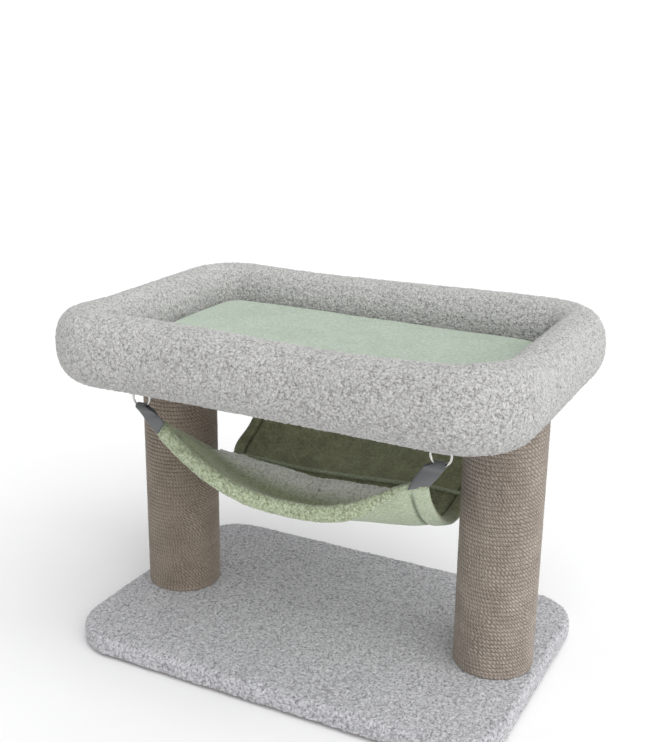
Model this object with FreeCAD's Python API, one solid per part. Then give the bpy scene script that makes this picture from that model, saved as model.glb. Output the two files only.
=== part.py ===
"""Low two-post cat tree: plush base, two sisal posts, bolster bed and a sling hammock under the bed.

Frame: millimetres, +Z up, origin on the floor under the centre of the base.
+X is the long side, -Y is the front. Left and right are seen from the front.
"""
import FreeCAD, Part
import math
import os

os.makedirs("parts", exist_ok=True)
Vec = FreeCAD.Vector
X_AXIS, Y_AXIS, Z_AXIS = Vec(1, 0, 0), Vec(0, 1, 0), Vec(0, 0, 1)

# ---- driving dimensions ----
BASE_LENGTH, BASE_WIDTH, BASE_CORNER = 525.0, 350.0, 60.0
FOOT_HEIGHT, FOOT_DIAMETER, FOOT_INSET = 4.0, 30.0, 50.0
BASE_BOARD_THICKNESS = 16.0
BASE_PLUSH = 6.0                                 # pile and backing of the base cover
BASE_TOP = FOOT_HEIGHT + BASE_BOARD_THICKNESS + BASE_PLUSH

POST_X = 208.0                                   # post axes are at +-POST_X on the long centre line
TUBE_DIAMETER, TUBE_BORE = 80.0, 72.0
ROPE_DIAMETER = 5.0
POST_LENGTH = 304.5
PLUG_HEIGHT = 25.0
INSERT_DIAMETER, INSERT_LENGTH = 12.0, 20.0
STAPLE_CROWN, STAPLE_WIRE, STAPLE_LEG = 10.0, 1.0, 7.0
STAPLE_INSET = 12.0                              # from the bed board's edge
STAPLES_LONG, STAPLE_PITCH_LONG = 7, 56.0        # along each long side
STAPLES_SHORT, STAPLE_PITCH_SHORT = 3, 80.0      # along each short side

BED_UNDERSIDE = BASE_TOP + POST_LENGTH
BED_PLUSH = 5.0
BED_BOARD_THICKNESS = 15.0
RIM_LENGTH, RIM_WIDTH, RIM_CORNER = 494.0, 323.0, 50.0     # centre line of the bolster
RIM_HALF_WIDTH, RIM_HALF_HEIGHT, RIM_ROUND = 31.0, 38.2, 29.0
MAT_GAP = 0.6                                    # mat to rim, so that the mat lifts out
MAT_THICKNESS, MAT_CLOTH = 15.0, 1.5

BOLT_DIAMETER, BOLT_HOLE = 8.0, 9.0
BOLT_HEAD_DIAMETER, BOLT_HEAD_HEIGHT, BOLT_HEAD_ROUND = 16.0, 4.8, 1.5
SOCKET_RADIUS, SOCKET_SHARE = 2.9, 0.6           # hex socket: its corner radius, and its depth in head heights
BOLT_GRIP = 28.0                                 # thread that enters the post
WASHER_DIAMETER, WASHER_THICKNESS = 24.0, 1.6
COUNTERBORE_DIAMETER, COUNTERBORE_DEPTH = 26.0, 7.0

HOOK_X, HOOK_Y = 179.5, 117.0                    # the four screw eyes
EYE_RADIUS, EYE_WIRE = 5.5, 1.5                  # to the wire's centre, and the wire's radius
EYE_DROP = 8.5                                   # bed underside to the eye's centre
EYE_FLANGE_RADIUS, EYE_FLANGE_THICKNESS = 5.0, 1.5
SCREW_RADIUS, SCREW_LENGTH = 1.8, 16.0
RING_RADIUS, RING_WIRE = 11.2, 1.3
RING_PLAY = 0.3                                  # ring wire to eye wire

SLING_X, SLING_FLARE = 151.0, 19.0               # half length at the bottom, and what the corners add
SLING_Y, SLING_BULGE = 112.0, 8.0                # half width at the ends, and what the middle adds
SLING_BOTTOM, SLING_BOTTOM_RISE = 176.0, 9.0     # trough's height in the middle, and what the ends add
SLING_EDGE, SLING_CORNER = 222.0, 270.0          # height of the long edges in the middle, and of the corners
SLING_POWER, SLING_POWER_DROP = 2.2, 0.85        # trough's roundness in the middle, and what the ends lose
SLING_LOWEST = 0.12                              # where across the width the trough is lowest
SLING_CLOTH = 4.0
LINING_GAP = 0.5
LINING_EDGE, LINING_RISE = 5.0, 25.0             # lining's thickness at its edge, and what its crest adds
LINING_CREST, LINING_SPREAD = -0.27, 0.6         # the crest's place across the width, and its half spread
HEM_FRONT, HEM_BACK, PIPING = 6.0, 3.0, 4.0      # heights over the cloth
STRAP_THICKNESS = 2.4
STRAP_LOOP_INNER, STRAP_LOOP_OUTER = 3.9, 5.2
STRAP_TONGUE, STRAP_WIDTH, STRAP_TIP_WIDTH = 12.6, 22.0, 24.0
STRAP_SHOULDER = 5.5                             # loop centre to the full width
STRAP_END = (158.5, 113.5, 272.5)                # where a strap reaches the sling

# ---- worked out ----
BED_BOARD_BOTTOM = BED_UNDERSIDE + BED_PLUSH
BED_BOARD_TOP = BED_BOARD_BOTTOM + BED_BOARD_THICKNESS
RIM_CENTRE_Z = BED_UNDERSIDE + RIM_HALF_HEIGHT
EYE_Z = BED_UNDERSIDE - EYE_DROP
RING_PIVOT_Z = EYE_Z - EYE_RADIUS + EYE_WIRE + RING_WIRE + RING_PLAY
RING_Z = RING_PIVOT_Z - RING_RADIUS
STRAP_PIVOT_Z = RING_Z - RING_RADIUS
SIDES = {"left": -1, "right": 1}
ENDS = {"front": -1, "back": 1}


def save(shape, node):
    """Write one node and print its size."""
    shape.exportStep("parts/%s.step" % node)
    print("%-20s volume %9.0f  solids %d  valid %s" % (node, shape.Volume, len(shape.Solids), shape.isValid()))


def rounded_slab(length, width, corner, bottom, top):
    """Upright slab with rounded corners, centred on the origin."""
    x, y = length / 2, width / 2
    slab = Part.makeBox(length, width, top - bottom, Vec(-x, -y, bottom))
    upright = [e for e in slab.Edges if abs(e.Vertexes[0].Z - e.Vertexes[-1].Z) > (top - bottom) / 2]
    return slab.makeFillet(corner, upright)


def rod(radius, bottom, top, x=0.0, y=0.0):
    """Upright cylinder."""
    return Part.makeCylinder(radius, top - bottom, Vec(x, y, bottom))


def pipe(outer_diameter, inner_diameter, bottom, top, x=0.0, y=0.0):
    """Upright tube."""
    return rod(outer_diameter / 2, bottom, top, x, y).cut(rod(inner_diameter / 2, bottom - 1, top + 1, x, y))


def group(solids):
    return Part.makeCompound(solids)


def cut_all(shape, tools):
    for tool in tools:
        shape = shape.cut(tool)
    return shape


# ---- base ----
def base_parts():
    board_top = FOOT_HEIGHT + BASE_BOARD_THICKNESS
    margin = 2 * BASE_PLUSH
    board = rounded_slab(BASE_LENGTH - margin, BASE_WIDTH - margin, BASE_CORNER - BASE_PLUSH, FOOT_HEIGHT, board_top)
    cover = rounded_slab(BASE_LENGTH, BASE_WIDTH, BASE_CORNER, FOOT_HEIGHT, BASE_TOP)
    cover = cover.makeFillet(BASE_PLUSH - 1, [e for e in cover.Edges if e.BoundBox.ZMin > BASE_TOP - 0.1])
    cover = cover.cut(board)
    for side in SIDES.values():
        x = side * POST_X
        recess = rod(COUNTERBORE_DIAMETER / 2, FOOT_HEIGHT - 1, FOOT_HEIGHT + COUNTERBORE_DEPTH, x)
        hole = rod(BOLT_HOLE / 2, FOOT_HEIGHT - 1, BASE_TOP + 1, x)
        board = board.cut(recess).cut(hole)
        cover = cover.cut(hole)
    feet_x, feet_y = BASE_LENGTH / 2 - FOOT_INSET, BASE_WIDTH / 2 - FOOT_INSET
    feet = [rod(FOOT_DIAMETER / 2, 0, FOOT_HEIGHT, sx * feet_x, sy * feet_y) for sx in (-1, 1) for sy in (-1, 1)]
    save(board, "base_board")
    save(cover, "base_cover")
    save(group(feet), "base_feet")


def bolt(x, seat, direction):
    """Pan-head bolt with its head's underside on the washer and its thread along direction (+1 up, -1 down)."""
    head_from = seat - direction * WASHER_THICKNESS
    head_to = head_from - direction * BOLT_HEAD_HEIGHT
    head = rod(BOLT_HEAD_DIAMETER / 2, min(head_from, head_to), max(head_from, head_to), x)
    rim = [e for e in head.Edges if abs(e.CenterOfMass.z - head_to) < 0.01 and e.Closed]
    head = head.makeFillet(BOLT_HEAD_ROUND, rim)
    tip = (BASE_TOP + BOLT_GRIP) if direction > 0 else (BED_UNDERSIDE - BOLT_GRIP)
    shank = rod(BOLT_DIAMETER / 2, min(head_from, tip), max(head_from, tip), x)
    socket_from = head_to
    socket_to = head_to + direction * BOLT_HEAD_HEIGHT * SOCKET_SHARE
    low = min(socket_from, socket_to)
    turns = [math.radians(60 * k) for k in range(7)]
    hexagon = [Vec(x + SOCKET_RADIUS * math.cos(a), SOCKET_RADIUS * math.sin(a), low) for a in turns]
    socket = Part.Face(Part.makePolygon(hexagon)).extrude(Vec(0, 0, abs(socket_to - socket_from)))
    return head.fuse(shank).removeSplitter().cut(socket)


def washer(x, seat, direction):
    low = min(seat, seat - direction * WASHER_THICKNESS)
    return pipe(WASHER_DIAMETER, BOLT_DIAMETER + 0.4, low, low + WASHER_THICKNESS, x)


def fastener_parts():
    """Bolts up through the base and down through the bed, each on its washer in a counterbore."""
    base_seat = FOOT_HEIGHT + COUNTERBORE_DEPTH
    bed_seat = BED_BOARD_TOP - COUNTERBORE_DEPTH
    posts = [side * POST_X for side in SIDES.values()]
    save(group([bolt(x, base_seat, 1) for x in posts]), "base_bolts")
    save(group([washer(x, base_seat, 1) for x in posts]), "base_washers")
    save(group([bolt(x, bed_seat, -1) for x in posts]), "bed_bolts")
    save(group([washer(x, bed_seat, -1) for x in posts]), "bed_washers")


# ---- posts ----
def post_parts():
    inserts = []
    for name, side in SIDES.items():
        x = side * POST_X
        save(pipe(TUBE_DIAMETER, TUBE_BORE, BASE_TOP, BED_UNDERSIDE, x), "post_tube_" + name)
        rope = pipe(TUBE_DIAMETER + 2 * ROPE_DIAMETER, TUBE_DIAMETER, BASE_TOP, BED_UNDERSIDE, x)
        save(rope, "sisal_rope_" + name)
        for place, low, insert_low in (("bottom", BASE_TOP, BASE_TOP),
                                       ("top", BED_UNDERSIDE - PLUG_HEIGHT, BED_UNDERSIDE - INSERT_LENGTH)):
            plug = pipe(TUBE_BORE, BOLT_HOLE, low, low + PLUG_HEIGHT, x)
            seat = rod(INSERT_DIAMETER / 2, insert_low, insert_low + INSERT_LENGTH, x)
            save(plug.cut(seat), "post_plug_%s_%s" % (place, name))
            inserts.append(pipe(INSERT_DIAMETER, BOLT_DIAMETER + 0.1, insert_low, insert_low + INSERT_LENGTH, x))
    save(group(inserts), "post_inserts")


# ---- bed ----
def oval_section(half_width, half_height, corner):
    """Upright section of the bolster at its centre line's front, as a closed face in the YZ plane."""
    y0, z0 = -RIM_WIDTH / 2, RIM_CENTRE_Z
    block = Part.makeBox(10, 2 * half_width, 2 * half_height, Vec(-5, y0 - half_width, z0 - half_height))
    along = [e for e in block.Edges if e.BoundBox.XLength > 5]
    block = block.makeFillet(corner, along)
    end = [f for f in block.Faces if abs(f.CenterOfMass.x + 5) < 0.01 and f.BoundBox.XLength < 0.01][0]
    face = end.copy()
    face.translate(Vec(5, 0, 0))
    return face


def bolster_ring(half_width, half_height, corner):
    """The section carried round the rounded-rectangle centre line: four straights and four bends."""
    face = oval_section(half_width, half_height, corner)
    straight_x = RIM_LENGTH / 2 - RIM_CORNER
    straight_y = RIM_WIDTH / 2 - RIM_CORNER
    front = face.copy()
    front.translate(Vec(-straight_x, 0, 0))
    pieces = []
    run = front.extrude(Vec(2 * straight_x, 0, 0))
    bend_face = face.copy()
    bend_face.translate(Vec(straight_x, 0, 0))
    bend = bend_face.revolve(Vec(straight_x, -straight_y, 0), Z_AXIS, 90)
    side_face = bend_face.copy()
    side_face.rotate(Vec(straight_x, -straight_y, 0), Z_AXIS, 90)
    side = side_face.extrude(Vec(0, 2 * straight_y, 0))
    back_bend = bend.mirror(Vec(0, 0, 0), Y_AXIS)
    for shape in (run, bend, side, back_bend):
        pieces.append(shape)
    for shape in (run.mirror(Vec(0, 0, 0), Y_AXIS), bend.mirror(Vec(0, 0, 0), X_AXIS),
                  side.mirror(Vec(0, 0, 0), X_AXIS), back_bend.mirror(Vec(0, 0, 0), X_AXIS)):
        pieces.append(shape)
    return pieces[0].multiFuse(pieces[1:]).removeSplitter()


def staple(x, y, heading):
    """U staple up into the bed board, its crown flat under the board."""
    half = STAPLE_CROWN / 2
    crown = Part.makeBox(STAPLE_CROWN, STAPLE_WIRE, STAPLE_WIRE, Vec(-half, -STAPLE_WIRE / 2, 0))
    leg = Part.makeBox(STAPLE_WIRE, STAPLE_WIRE, STAPLE_LEG, Vec(-half, -STAPLE_WIRE / 2, 0))
    other = leg.copy()
    other.translate(Vec(STAPLE_CROWN - STAPLE_WIRE, 0, 0))
    shape = crown.multiFuse([leg, other]).removeSplitter()
    shape.rotate(Vec(0, 0, 0), Z_AXIS, heading)
    shape.translate(Vec(x, y, BED_BOARD_BOTTOM - STAPLE_WIRE))
    return shape


def cover_staples():
    """Staples just inside the edge of the bed board that hold the bed cover."""
    edge_x, edge_y = RIM_LENGTH / 2 - STAPLE_INSET, RIM_WIDTH / 2 - STAPLE_INSET
    staples = []
    for side in (-1, 1):
        for k in range(STAPLES_LONG):
            x = (k - (STAPLES_LONG - 1) / 2) * STAPLE_PITCH_LONG
            staples.append(staple(x, side * edge_y, 0))
        for k in range(STAPLES_SHORT):
            y = (k - (STAPLES_SHORT - 1) / 2) * STAPLE_PITCH_SHORT
            staples.append(staple(side * edge_x, y, 90))
    return staples


def bed_parts():
    under_board = rounded_slab(RIM_LENGTH, RIM_WIDTH, RIM_CORNER, BED_UNDERSIDE - 20, BED_BOARD_TOP)
    outer = bolster_ring(RIM_HALF_WIDTH, RIM_HALF_HEIGHT, RIM_ROUND)
    inner = bolster_ring(RIM_HALF_WIDTH - BED_PLUSH, RIM_HALF_HEIGHT - BED_PLUSH, RIM_ROUND - BED_PLUSH)
    save(outer.cut(inner).cut(under_board), "rim_cover")
    save(inner.cut(under_board), "rim_foam")

    board = rounded_slab(RIM_LENGTH, RIM_WIDTH, RIM_CORNER, BED_BOARD_BOTTOM, BED_BOARD_TOP)
    cover = rounded_slab(RIM_LENGTH, RIM_WIDTH, RIM_CORNER, BED_UNDERSIDE, BED_BOARD_BOTTOM)
    staples = cover_staples()
    for side in SIDES.values():
        x = side * POST_X
        recess = rod(COUNTERBORE_DIAMETER / 2, BED_BOARD_TOP - COUNTERBORE_DEPTH, BED_BOARD_TOP + 1, x)
        hole = rod(BOLT_HOLE / 2, BED_UNDERSIDE - 1, BED_BOARD_TOP + 1, x)
        board = board.cut(recess).cut(hole)
        cover = cover.cut(hole)
        for end in ENDS.values():
            screw = rod(SCREW_RADIUS, BED_UNDERSIDE - 1, BED_UNDERSIDE + SCREW_LENGTH, side * HOOK_X, end * HOOK_Y)
            board = board.cut(screw)
            cover = cover.cut(screw)
    save(cut_all(board, staples), "bed_board")
    save(cut_all(cover, staples), "bed_cover")
    save(group(staples), "bed_staples")


def mat_parts():
    """The loose mat: a cloth top with sides, foam, and a backing sheet under it."""
    length = RIM_LENGTH - 2 * (RIM_HALF_WIDTH + MAT_GAP)
    width = RIM_WIDTH - 2 * (RIM_HALF_WIDTH + MAT_GAP)
    corner = RIM_CORNER - RIM_HALF_WIDTH
    low = BED_BOARD_TOP
    top = low + MAT_THICKNESS
    margin = 2 * MAT_CLOTH
    foam = rounded_slab(length - margin, width - margin, corner - MAT_CLOTH, low + MAT_CLOTH, top - MAT_CLOTH)
    backing = rounded_slab(length - margin, width - margin, corner - MAT_CLOTH, low, low + MAT_CLOTH)
    cover = rounded_slab(length, width, corner, low, top).cut(foam).cut(backing)
    save(cover, "mat_cover")
    save(foam, "mat_foam")
    save(backing, "mat_backing")


# ---- hammock ----
def sling_point(u, v):
    """Middle surface of the sling: u runs along X from -1 to 1, v from the front edge -1 to the back edge 1."""
    x = u * (SLING_X + SLING_FLARE * v * v)
    y = v * (SLING_Y + SLING_BULGE * (1 - u * u))
    bottom = SLING_BOTTOM + SLING_BOTTOM_RISE * u * u
    edge = SLING_EDGE + (SLING_CORNER - SLING_EDGE) * u * u * (1.6 - 0.6 * abs(u))
    reach = abs(v - SLING_LOWEST) / (1 + (SLING_LOWEST if v < SLING_LOWEST else -SLING_LOWEST))
    power = SLING_POWER - SLING_POWER_DROP * u * u
    return Vec(x, y, bottom + (edge - bottom) * reach ** power)


def sling_normal(u, v):
    """Upward normal of the middle surface, from small steps along u and v."""
    step = 0.01
    along = sling_point(min(u + step, 1), v) - sling_point(max(u - step, -1), v)
    across = sling_point(u, min(v + step, 1)) - sling_point(u, max(v - step, -1))
    normal = along.cross(across)
    return normal.normalize()


def sling_panel(u_range, v_range, low, high, cells=(16, 20)):
    """Closed solid between two offsets of the sling's middle surface; high may be a function of (u, v)."""
    def surface(offset):
        rows = []
        for i in range(cells[0] + 1):
            u = u_range[0] + (u_range[1] - u_range[0]) * i / cells[0]
            row = []
            for j in range(cells[1] + 1):
                v = v_range[0] + (v_range[1] - v_range[0]) * j / cells[1]
                amount = offset(u, v) if callable(offset) else offset
                row.append(sling_point(u, v) + sling_normal(u, v) * amount)
            rows.append(row)
        sheet = Part.BSplineSurface()
        sheet.interpolate(rows)
        return sheet
    lower, upper = surface(low), surface(high)
    faces = [lower.toShape(), upper.toShape()]
    u0, u1, v0, v1 = lower.bounds()
    for curve in (lambda s: s.uIso(u0), lambda s: s.uIso(u1), lambda s: s.vIso(v0), lambda s: s.vIso(v1)):
        faces.append(Part.makeRuledSurface(curve(lower).toShape(), curve(upper).toShape()))
    shell = Part.makeShell(faces)
    shell.sewShape()
    solid = Part.makeSolid(shell)
    if solid.Volume < 0:
        solid.reverse()
    return solid


def lining_top(u, v):
    """Height of the boucle lining's top over the sling's middle surface: full at the bottom, thin at its edges."""
    across = 1 - ((v - LINING_CREST) / LINING_SPREAD) ** 2
    along = 1 - u ** 4
    return SLING_CLOTH / 2 + LINING_GAP + LINING_EDGE + LINING_RISE * max(across, 0) * max(along, 0)


def hammock_parts():
    half = SLING_CLOTH / 2
    skin = half + LINING_GAP
    save(sling_panel((-1, 1), (-1, 1), -half, half), "hammock_shell")
    save(sling_panel((-0.95, 0.95), (-0.85, 0.33), skin, lining_top), "hammock_lining")
    save(sling_panel((-0.99, 0.99), (-1, -0.87), skin, skin + HEM_FRONT, (16, 2)), "hammock_hem_front")
    save(sling_panel((-0.99, 0.99), (0.91, 1), skin, skin + HEM_BACK, (16, 2)), "hammock_hem_back")
    save(sling_panel((-0.95, 0.95), (0.35, 0.385), skin, skin + PIPING, (16, 1)), "hammock_piping")


def screw_eye(x, y):
    """Eye in the YZ plane on a flanged screw that is driven up into the bed board."""
    eye = Part.makeTorus(EYE_RADIUS, EYE_WIRE, Vec(x, y, EYE_Z), X_AXIS)
    neck = rod(EYE_WIRE, EYE_Z + EYE_RADIUS, BED_UNDERSIDE, x, y)
    flange = rod(EYE_FLANGE_RADIUS, BED_UNDERSIDE - EYE_FLANGE_THICKNESS, BED_UNDERSIDE, x, y)
    thread = rod(SCREW_RADIUS, BED_UNDERSIDE, BED_UNDERSIDE + SCREW_LENGTH - 1, x, y)
    return eye.multiFuse([neck, flange, thread])


def strap(side, end):
    """Webbing strap: a narrow tongue looped round the ring, then a sheared flat strip down to the sling."""
    hook_x, hook_y = side * HOOK_X, end * HOOK_Y
    tip = Vec(side * STRAP_END[0], end * STRAP_END[1], STRAP_END[2])
    pivot = Vec(hook_x, hook_y, STRAP_PIVOT_Z)
    drop = Vec(0, tip.y - pivot.y, tip.z - pivot.z)
    length = drop.Length
    down = Vec(drop).normalize()
    normal = X_AXIS.cross(down)

    def at(offset_x, along):
        lean = (tip.x - pivot.x) * along / length
        return pivot + X_AXIS * (lean + offset_x) + down * along - normal * (STRAP_THICKNESS / 2)

    def strip(half_start, half_end, start, stop):
        corners = [at(-half_start, start), at(half_start, start), at(half_end, stop), at(-half_end, stop)]
        return Part.Face(Part.makePolygon(corners + corners[:1])).extrude(normal * STRAP_THICKNESS)

    half_tongue = STRAP_TONGUE / 2
    start = pivot - X_AXIS * half_tongue
    loop = Part.makeCylinder(STRAP_LOOP_OUTER, STRAP_TONGUE, start, X_AXIS)
    bore = Part.makeCylinder(STRAP_LOOP_INNER, STRAP_TONGUE + 40, start - X_AXIS * 20, X_AXIS)
    tongue = strip(half_tongue, half_tongue, 0, STRAP_SHOULDER + 1)
    body = strip(STRAP_WIDTH / 2, STRAP_TIP_WIDTH / 2, STRAP_SHOULDER, length - 1)
    return loop.multiFuse([tongue, body]).cut(bore)


def hanging_parts():
    for end_name, end in ENDS.items():
        for side_name, side in SIDES.items():
            place = "%s_%s" % (end_name, side_name)
            x, y = side * HOOK_X, end * HOOK_Y
            save(screw_eye(x, y), "screw_eye_" + place)
            save(Part.makeTorus(RING_RADIUS, RING_WIRE, Vec(x, y, RING_Z), Y_AXIS), "ring_" + place)
            save(strap(side, end), "strap_" + place)


base_parts()
fastener_parts()
post_parts()
bed_parts()
mat_parts()
hammock_parts()
hanging_parts()
print("bed underside %.1f, mat top %.1f" % (BED_UNDERSIDE, BED_BOARD_TOP + MAT_THICKNESS))
print("ring hinge z %.2f, strap hinge z %.2f" % (RING_PIVOT_Z, STRAP_PIVOT_Z))
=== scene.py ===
"""Looks of the low two-post cat tree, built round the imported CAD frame.

Lengths are written in millimetres and turned into metres by MM. +X is the long side, -Y the front, +Z up.
"""
import math

import bmesh
import bpy
import numpy as np
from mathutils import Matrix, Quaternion, Vector


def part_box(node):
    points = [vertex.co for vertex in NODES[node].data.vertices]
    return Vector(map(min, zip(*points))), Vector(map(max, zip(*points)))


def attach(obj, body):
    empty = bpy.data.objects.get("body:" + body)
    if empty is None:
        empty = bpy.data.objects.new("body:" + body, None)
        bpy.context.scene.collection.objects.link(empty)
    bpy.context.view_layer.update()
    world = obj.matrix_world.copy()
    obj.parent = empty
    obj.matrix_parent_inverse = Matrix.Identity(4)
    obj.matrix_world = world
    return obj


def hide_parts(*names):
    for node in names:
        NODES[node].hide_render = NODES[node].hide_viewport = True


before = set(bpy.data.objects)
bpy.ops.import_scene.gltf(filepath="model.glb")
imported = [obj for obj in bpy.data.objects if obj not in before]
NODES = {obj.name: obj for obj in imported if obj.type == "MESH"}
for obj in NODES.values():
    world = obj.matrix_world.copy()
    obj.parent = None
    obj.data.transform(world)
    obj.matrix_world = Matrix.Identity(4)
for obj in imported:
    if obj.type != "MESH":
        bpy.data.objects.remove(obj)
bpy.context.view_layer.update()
MM = 0.001


# ---------------------------------------------------------------- mesh helpers
def mesh_object(name, points, faces, material, uv=None, values=None):
    """Smooth mesh from points in millimetres.

    uv holds one pair per point; values are point attributes by name.
    """
    mesh = bpy.data.meshes.new(name)
    mesh.from_pydata((np.asarray(points, float) * MM).tolist(), [], [list(map(int, f)) for f in faces])
    mesh.polygons.foreach_set("use_smooth", [True] * len(mesh.polygons))
    if uv is not None:
        layer = mesh.uv_layers.new(name="UVMap")
        corner = np.zeros(len(mesh.loops), np.int32)
        mesh.loops.foreach_get("vertex_index", corner)
        layer.data.foreach_set("uv", np.asarray(uv, np.float32)[corner].ravel())
    for key, value in (values or {}).items():
        mesh.attributes.new(key, "FLOAT", "POINT").data.foreach_set("value", np.asarray(value, np.float32))
    mesh.materials.append(material)
    piece = bpy.data.objects.new(name, mesh)
    bpy.context.scene.collection.objects.link(piece)
    return piece


def grid_faces(rows, columns, close_rows=False, close_columns=False, start=0, flip=False):
    """Quads over a grid of points stored row by row."""
    i = np.arange(rows if close_rows else rows - 1)
    j = np.arange(columns if close_columns else columns - 1)
    i, j = (a.ravel() for a in np.meshgrid(i, j, indexing="ij"))
    i2, j2 = (i + 1) % rows, (j + 1) % columns
    quads = np.stack([i * columns + j, i2 * columns + j, i2 * columns + j2, i * columns + j2], 1) + start
    return quads[:, ::-1] if flip else quads


def closed_sheet(top, bottom):
    """Points and faces of a closed plate between two grids of the same size."""
    rows, columns = top.shape[:2]
    count = rows * columns
    points = np.concatenate([top.reshape(-1, 3), bottom.reshape(-1, 3)])
    rim = [i * columns for i in range(rows)] + [(rows - 1) * columns + j for j in range(1, columns)]
    rim += [i * columns + columns - 1 for i in range(rows - 2, -1, -1)] + list(range(columns - 2, 0, -1))
    faces = list(grid_faces(rows, columns)) + list(grid_faces(rows, columns, start=count, flip=True))
    for a, b in zip(rim, rim[1:] + rim[:1]):
        faces.append((b, a, a + count, b + count))
    return points, faces


def fix_normals(piece):
    """Point every face outwards."""
    shape = bmesh.new()
    shape.from_mesh(piece.data)
    bmesh.ops.recalc_face_normals(shape, faces=shape.faces)
    shape.to_mesh(piece.data)
    shape.free()
    return piece


CLOTH_STIFFNESS, CLOTH_BENDING, CLOTH_FRAMES = 40, 2, 20


def puff(piece, voxel, pressure, reach, floor=None):
    """Swell a closed piece as cloth under pressure from inside; the result replaces its mesh.

    voxel is the cloth's mesh size, reach how far a point may move along each axis and floor the
    lowest height it may take, all in millimetres.
    """
    lay = piece.data.materials[0]
    even = piece.modifiers.new("even", "REMESH")
    even.mode, even.voxel_size, even.use_smooth_shade = "VOXEL", voxel * MM, True
    piece.data = settled_mesh(piece)
    piece.modifiers.clear()
    if not piece.data.materials:
        piece.data.materials.append(lay)
    start = vertex_places(piece.data)
    cloth = piece.modifiers.new("cloth", "CLOTH")
    cloth.settings.use_pressure = True
    cloth.settings.uniform_pressure_force = pressure
    cloth.settings.effector_weights.gravity = 0
    cloth.settings.tension_stiffness = cloth.settings.compression_stiffness = CLOTH_STIFFNESS
    cloth.settings.bending_stiffness = CLOTH_BENDING
    cloth.point_cache.frame_start, cloth.point_cache.frame_end = 1, CLOTH_FRAMES
    for frame_number in range(1, CLOTH_FRAMES + 1):
        bpy.context.scene.frame_set(frame_number)
    swollen = settled_mesh(piece)
    limit = np.array(reach) * MM
    places = start + np.clip(vertex_places(swollen) - start, -limit, limit)
    if floor is not None:
        places[:, 2] = np.maximum(places[:, 2], np.minimum(start[:, 2], floor * MM))
    piece.modifiers.clear()
    piece.data.vertices.foreach_set("co", places.ravel())
    bpy.data.meshes.remove(swollen)
    bpy.context.scene.frame_set(1)
    finer = piece.modifiers.new("finer", "SUBSURF")
    finer.levels = finer.render_levels = 1
    piece.data = settled_mesh(piece)
    piece.modifiers.clear()


def settled_mesh(piece):
    """The piece's mesh with its modifiers applied."""
    graph = bpy.context.evaluated_depsgraph_get()
    return bpy.data.meshes.new_from_object(piece.evaluated_get(graph))


def vertex_places(mesh):
    """The mesh's points as an array, in metres."""
    places = np.zeros(len(mesh.vertices) * 3)
    mesh.vertices.foreach_get("co", places)
    return places.reshape(-1, 3)


def smoothstep(low, high, x):
    """0 at low, 1 at high and smooth between; high may be the smaller of the two."""
    t = np.clip((x - low) / (high - low), 0, 1)
    return t * t * (3 - 2 * t)


def waves(x, seed, count=5, longest=1.0):
    """Smooth wandering line in x, about -1 to 1: a few sines with fixed random phases."""
    random = np.random.default_rng(seed)
    total = np.zeros_like(x, dtype=float)
    for k in range(count):
        cycles = k + 1 + 0.3 * random.random()
        total += np.sin(2 * math.pi * cycles * x / longest + 6.28 * random.random()) / (k + 1.5)
    return total / 1.6


# ---------------------------------------------------------------- material helpers
def add(tree, kind, inputs=None, **settings):
    """New node with its settings and unlinked input values."""
    node = tree.nodes.new(kind)
    for key, value in settings.items():
        setattr(node, key, value)
    for key, value in (inputs or {}).items():
        node.inputs[key].default_value = value
    return node


def math_node(tree, operation, a, b=None, clamp=False):
    """Output of a new Math node; a and b are numbers or sockets."""
    node = add(tree, "ShaderNodeMath", operation=operation, use_clamp=clamp)
    for k, value in enumerate((a, b)):
        if value is None:
            continue
        if hasattr(value, "links"):
            tree.links.new(value, node.inputs[k])
        else:
            node.inputs[k].default_value = value
    return node.outputs[0]


def ramp(tree, factor, stops, interpolation="LINEAR"):
    """Colour ramp; stops are (place, colour)."""
    node = add(tree, "ShaderNodeValToRGB")
    node.color_ramp.interpolation = interpolation
    while len(node.color_ramp.elements) < len(stops):
        node.color_ramp.elements.new(0.5)
    for element, (place, colour) in zip(node.color_ramp.elements, stops):
        element.position = place
        element.color = (*colour, 1)
    tree.links.new(factor, node.inputs["Fac"])
    return node.outputs["Color"]


def mix_colour(tree, factor, a, b, blend="MIX"):
    """Output of a new colour mix; its inputs are numbers, colours or sockets."""
    node = add(tree, "ShaderNodeMix", data_type="RGBA", blend_type=blend)
    for socket, value in ((node.inputs["Factor"], factor), (node.inputs[6], a), (node.inputs[7], b)):
        if hasattr(value, "links"):
            tree.links.new(value, socket)
        elif isinstance(value, (int, float)):
            socket.default_value = value
        else:
            socket.default_value = (*value, 1)
    return node.outputs[2]


def noise_texture(tree, position, scale, detail=2.0, roughness=0.5):
    """New noise node, its scale in waves per metre of position."""
    node = add(tree, "ShaderNodeTexNoise", {"Scale": scale, "Detail": detail, "Roughness": roughness})
    tree.links.new(position, node.inputs["Vector"])
    return node


def material(name, roughness=0.8, metallic=0.0, sheen=0.0, sheen_tint=(1, 1, 1)):
    """New node material; returns (material, tree, shader, object coordinates)."""
    made = bpy.data.materials.new(name)
    made.use_nodes = True
    tree = made.node_tree
    shader = tree.nodes["Principled BSDF"]
    shader.inputs["Roughness"].default_value = roughness
    shader.inputs["Metallic"].default_value = metallic
    if sheen:
        shader.inputs["Sheen Weight"].default_value = sheen
        shader.inputs["Sheen Tint"].default_value = (*sheen_tint, 1)
    place = add(tree, "ShaderNodeTexCoord").outputs["Object"]
    return made, tree, shader, place


def bump(tree, shader, height, distance, strength=1.0):
    """Feed a height to the shader's normal; distance is the relief in metres."""
    node = add(tree, "ShaderNodeBump", {"Strength": strength, "Distance": distance})
    tree.links.new(height, node.inputs["Height"])
    tree.links.new(node.outputs["Normal"], shader.inputs["Normal"])


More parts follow.
